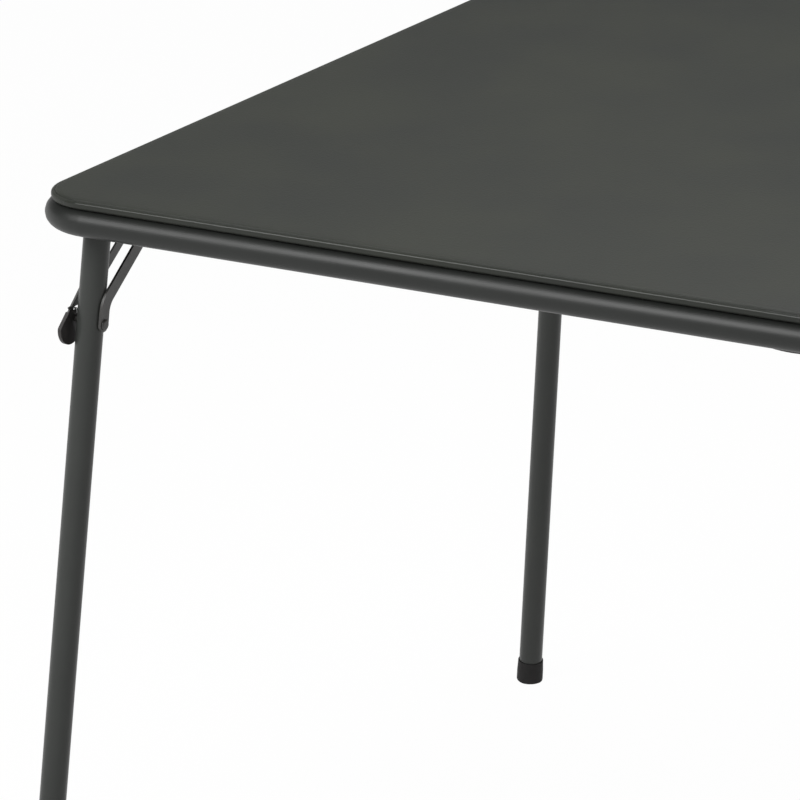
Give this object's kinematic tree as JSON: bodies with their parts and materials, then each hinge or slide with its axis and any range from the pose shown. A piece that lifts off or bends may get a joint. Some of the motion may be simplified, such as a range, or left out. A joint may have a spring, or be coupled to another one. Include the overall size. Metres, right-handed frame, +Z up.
{
  "type": "folding card table",
  "caption": "Square folding card table with a padded vinyl top, a round tube frame with rounded corners, and splayed tube legs that fold flat under it, each held by a strap and a lock lever.",
  "frame": {"origin": "on the floor under the middle of the table top", "axes": "+Z up; +X along the front rail to the right and +Y to the back rail, seen from the front"},
  "size_m": [0.9222, 0.9222, 0.711],
  "materials": {
    "hardboard": "smooth hardboard",
    "foam": "open-cell foam",
    "vinyl": "dark grey-green grained vinyl, satin",
    "frame_paint": "satin dark powder coat",
    "leg_paint": "satin dark powder coat",
    "black_steel": "satin black",
    "zinc_steel": "zinc plated",
    "rubber": "matt black rubber",
    "grip_vinyl": "black vinyl dip"
  },
  "bodies": {
    "frame": {"hardboard_panel": "hardboard", "foam_pad": "foam", "vinyl_cover": "vinyl", "frame_hoop": "frame_paint", "catch_studs": "frame_paint", "panel_screws": "zinc_steel", "front_left_leg_bracket": "frame_paint", "front_left_pivot_rivet": "black_steel", "front_left_slide_guide": "black_steel", "back_left_leg_bracket": "frame_paint", "back_left_pivot_rivet": "black_steel", "back_left_slide_guide": "black_steel", "back_right_leg_bracket": "frame_paint", "back_right_pivot_rivet": "black_steel", "back_right_slide_guide": "black_steel", "front_right_leg_bracket": "frame_paint", "front_right_pivot_rivet": "black_steel", "front_right_slide_guide": "black_steel"},
    "front_left_leg": {"front_left_leg_tube": "leg_paint", "front_left_foot_cap": "rubber", "front_left_brace_rivet": "black_steel"},
    "front_left_brace": {"front_left_brace_strap": "black_steel", "front_left_guide_pin": "black_steel"},
    "front_left_lever": {"front_left_lock_lever": "black_steel", "front_left_lever_grip": "grip_vinyl", "front_left_lever_spring": "zinc_steel"},
    "back_left_leg": {"back_left_leg_tube": "leg_paint", "back_left_foot_cap": "rubber", "back_left_brace_rivet": "black_steel"},
    "back_left_brace": {"back_left_brace_strap": "black_steel", "back_left_guide_pin": "black_steel"},
    "back_left_lever": {"back_left_lock_lever": "black_steel", "back_left_lever_grip": "grip_vinyl", "back_left_lever_spring": "zinc_steel"},
    "back_right_leg": {"back_right_leg_tube": "leg_paint", "back_right_foot_cap": "rubber", "back_right_brace_rivet": "black_steel"},
    "back_right_brace": {"back_right_brace_strap": "black_steel", "back_right_guide_pin": "black_steel"},
    "back_right_lever": {"back_right_lock_lever": "black_steel", "back_right_lever_grip": "grip_vinyl", "back_right_lever_spring": "zinc_steel"},
    "front_right_leg": {"front_right_leg_tube": "leg_paint", "front_right_foot_cap": "rubber", "front_right_brace_rivet": "black_steel"},
    "front_right_brace": {"front_right_brace_strap": "black_steel", "front_right_guide_pin": "black_steel"},
    "front_right_lever": {"front_right_lock_lever": "black_steel", "front_right_lever_grip": "grip_vinyl", "front_right_lever_spring": "zinc_steel"}
  },
  "joints": [
    {"name": "front_left_leg_fold", "type": "hinge", "parent": "frame", "child": "front_left_leg", "pos_m": [-0.3925, -0.3877, 0.684], "axis": [0.998, 0, -0.0628], "range_deg": [0, 95.1]},
    {"name": "front_left_brace_swing", "type": "hinge", "parent": "front_left_leg", "child": "front_left_brace", "pos_m": [-0.39774, -0.39515, 0.6007], "axis": [0.998, 0, -0.0628], "range_deg": [-138.36, 0]},
    {"name": "front_left_lever_release", "type": "hinge", "parent": "front_left_brace", "child": "front_left_lever", "pos_m": [-0.39774, -0.39515, 0.6007], "axis": [0.998, 0, -0.0628], "range_deg": [0, 4], "stiffness_Nm_per_rad": 0.6, "springref_deg": -9.74},
    {"name": "back_left_leg_fold", "type": "hinge", "parent": "frame", "child": "back_left_leg", "pos_m": [-0.3877, 0.3925, 0.684], "axis": [0, -0.998, -0.0628], "range_deg": [0, 95.1]},
    {"name": "back_left_brace_swing", "type": "hinge", "parent": "back_left_leg", "child": "back_left_brace", "pos_m": [-0.39515, 0.39774, 0.6007], "axis": [0, -0.998, -0.0628], "range_deg": [-138.36, 0]},
    {"name": "back_left_lever_release", "type": "hinge", "parent": "back_left_brace", "child": "back_left_lever", "pos_m": [-0.39515, 0.39774, 0.6007], "axis": [0, -0.998, -0.0628], "range_deg": [0, 4], "stiffness_Nm_per_rad": 0.6, "springref_deg": -9.74},
    {"name": "back_right_leg_fold", "type": "hinge", "parent": "frame", "child": "back_right_leg", "pos_m": [0.3925, 0.3877, 0.684], "axis": [-0.998, 0, -0.0628], "range_deg": [0, 95.1]},
    {"name": "back_right_brace_swing", "type": "hinge", "parent": "back_right_leg", "child": "back_right_brace", "pos_m": [0.39774, 0.39515, 0.6007], "axis": [-0.998, 0, -0.0628], "range_deg": [-138.36, 0]},
    {"name": "back_right_lever_release", "type": "hinge", "parent": "back_right_brace", "child": "back_right_lever", "pos_m": [0.39774, 0.39515, 0.6007], "axis": [-0.998, 0, -0.0628], "range_deg": [0, 4], "stiffness_Nm_per_rad": 0.6, "springref_deg": -9.74},
    {"name": "front_right_leg_fold", "type": "hinge", "parent": "frame", "child": "front_right_leg", "pos_m": [0.3877, -0.3925, 0.684], "axis": [0, 0.998, -0.0628], "range_deg": [0, 95.1]},
    {"name": "front_right_brace_swing", "type": "hinge", "parent": "front_right_leg", "child": "front_right_brace", "pos_m": [0.39515, -0.39774, 0.6007], "axis": [0, 0.998, -0.0628], "range_deg": [-138.36, 0]},
    {"name": "front_right_lever_release", "type": "hinge", "parent": "front_right_brace", "child": "front_right_lever", "pos_m": [0.39515, -0.39774, 0.6007], "axis": [0, 0.998, -0.0628], "range_deg": [0, 4], "stiffness_Nm_per_rad": 0.6, "springref_deg": -9.74}
  ],
  "couplings": [
    {"joint": "front_left_brace_swing", "follows": "front_left_leg_fold", "ratio": -1.4543},
    {"joint": "back_left_brace_swing", "follows": "back_left_leg_fold", "ratio": -1.4543},
    {"joint": "back_right_brace_swing", "follows": "back_right_leg_fold", "ratio": -1.4543},
    {"joint": "front_right_brace_swing", "follows": "front_right_leg_fold", "ratio": -1.4543}
  ]
}
